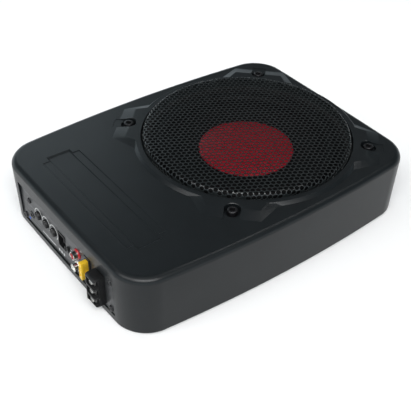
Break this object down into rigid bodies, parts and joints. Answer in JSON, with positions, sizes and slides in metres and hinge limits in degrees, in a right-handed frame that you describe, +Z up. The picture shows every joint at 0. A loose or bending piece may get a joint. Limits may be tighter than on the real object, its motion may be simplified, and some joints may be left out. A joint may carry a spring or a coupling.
{
  "type": "powered car subwoofer",
  "caption": "Slim powered car subwoofer: one driver behind a domed mesh grille in a shallow black box, with an amplifier panel of knobs, jacks, fuse and terminals at one end.",
  "frame": {"origin": "centre of the whole object's box, on the surface it stands on", "axes": "+X along the box from the amplifier's end panel to the driver, +Z up, the way the driver fires"},
  "size_m": [0.3438, 0.2542, 0.0765],
  "materials": {
    "black_housing": "matt, fine grain",
    "painted_steel": "black powder coat",
    "grey_panel": "satin grey",
    "zinc_steel": "bright zinc",
    "blackened_steel": "black oxide",
    "rubber": "matt",
    "foam": "foam",
    "cone_paper": "pressed fibre",
    "red_cap": "satin",
    "spider_cloth": "woven, resin stiffened",
    "copper": "enamelled copper wire",
    "ferrite": "sintered",
    "connector_plastic": "moulded",
    "red_plastic": "moulded",
    "white_plastic": "moulded",
    "fuse_yellow": "tinted clear moulding",
    "led_blue": "tinted lens",
    "board_green": "solder mask",
    "aluminium": "mill",
    "capacitor_sleeve": "shrink sleeve"
  },
  "bodies": {
    "root": {"housing": "black_housing", "base_plate": "painted_steel", "grille": "painted_steel", "basket": "painted_steel", "end_panel": "grey_panel", "base_screw_1": "zinc_steel", "base_screw_2": "zinc_steel", "base_screw_3": "zinc_steel", "base_screw_4": "zinc_steel", "top_plate": "zinc_steel", "yoke": "zinc_steel", "pot_1": "zinc_steel", "pot_2": "zinc_steel", "pot_3": "zinc_steel", "phase_switch_body": "zinc_steel", "cap_screw_1": "blackened_steel", "cap_screw_2": "blackened_steel", "cap_screw_3": "blackened_steel", "cap_screw_4": "blackened_steel", "panel_screw_1": "blackened_steel", "panel_screw_2": "blackened_steel", "panel_screw_3": "blackened_steel", "panel_screw_4": "blackened_steel", "foot_1": "rubber", "foot_2": "rubber", "foot_3": "rubber", "foot_4": "rubber", "surround": "rubber", "driver_gasket": "foam", "spider": "spider_cloth", "toroid": "copper", "magnet": "ferrite", "remote_jack": "connector_plastic", "high_level_socket": "connector_plastic", "rca_block": "connector_plastic", "fuse_holder": "connector_plastic", "terminal_block": "connector_plastic", "rca_jack_red": "red_plastic", "rca_jack_white": "white_plastic", "power_led": "led_blue", "circuit_board": "board_green", "heat_sink": "aluminium", "capacitor_1": "capacitor_sleeve", "capacitor_2": "capacitor_sleeve"},
    "cone_assembly": {"cone": "cone_paper", "dust_cap": "red_cap", "voice_coil": "copper"},
    "fuse": {"fuse": "fuse_yellow"},
    "phase_switch": {"phase_switch": "connector_plastic"},
    "knob_1": {"knob_1": "connector_plastic"},
    "clamp_1": {"clamp_1": "zinc_steel"},
    "terminal_screw_1": {"terminal_screw_1": "zinc_steel"},
    "knob_2": {"knob_2": "connector_plastic"},
    "clamp_2": {"clamp_2": "zinc_steel"},
    "terminal_screw_2": {"terminal_screw_2": "zinc_steel"},
    "knob_3": {"knob_3": "connector_plastic"},
    "clamp_3": {"clamp_3": "zinc_steel"},
    "terminal_screw_3": {"terminal_screw_3": "zinc_steel"}
  },
  "joints": [
    {"name": "cone_travel", "type": "slide", "parent": "root", "child": "cone_assembly", "axis": [0, 0, 1], "range_m": [-0.006, 0.006], "stiffness_N_per_m": 3000, "deforming": ["surround", "spider"]},
    {"name": "knob_1_turn", "type": "hinge", "parent": "root", "child": "knob_1", "pos_m": [-0.16345, 0.051, 0.03], "axis": [-1, 0, 0], "range_deg": [-135, 135]},
    {"name": "knob_2_turn", "type": "hinge", "parent": "root", "child": "knob_2", "pos_m": [-0.16345, 0.036, 0.03], "axis": [-1, 0, 0], "range_deg": [-135, 135]},
    {"name": "knob_3_turn", "type": "hinge", "parent": "root", "child": "knob_3", "pos_m": [-0.16345, 0.021, 0.03], "axis": [-1, 0, 0], "range_deg": [-135, 135]},
    {"name": "phase_switch_slide", "type": "slide", "parent": "root", "child": "phase_switch", "axis": [0, 0, 1], "range_m": [-0.0044, 0]},
    {"name": "fuse_pull", "type": "slide", "parent": "root", "child": "fuse", "axis": [-1, 0, 0], "range_m": [0, 0.02]},
    {"name": "clamp_1_lift", "type": "slide", "parent": "root", "child": "clamp_1", "axis": [-1, 0, 0], "range_m": [0, 0.0024]},
    {"name": "terminal_screw_1_turn", "type": "hinge", "parent": "clamp_1", "child": "terminal_screw_1", "pos_m": [-0.16805, -0.064, 0.038], "axis": [-1, 0, 0], "range_deg": [0, 1080]},
    {"name": "clamp_2_lift", "type": "slide", "parent": "root", "child": "clamp_2", "axis": [-1, 0, 0], "range_m": [0, 0.0024]},
    {"name": "terminal_screw_2_turn", "type": "hinge", "parent": "clamp_2", "child": "terminal_screw_2", "pos_m": [-0.16805, -0.064, 0.0275], "axis": [-1, 0, 0], "range_deg": [0, 1080]},
    {"name": "clamp_3_lift", "type": "slide", "parent": "root", "child": "clamp_3", "axis": [-1, 0, 0], "range_m": [0, 0.0024]},
    {"name": "terminal_screw_3_turn", "type": "hinge", "parent": "clamp_3", "child": "terminal_screw_3", "pos_m": [-0.16805, -0.064, 0.017], "axis": [-1, 0, 0], "range_deg": [0, 1080]}
  ],
  "couplings": [
    {"joint": "terminal_screw_1_turn", "follows": "clamp_1_lift", "rad_per_m": 7854},
    {"joint": "terminal_screw_2_turn", "follows": "clamp_2_lift", "rad_per_m": 7854},
    {"joint": "terminal_screw_3_turn", "follows": "clamp_3_lift", "rad_per_m": 7854}
  ]
}
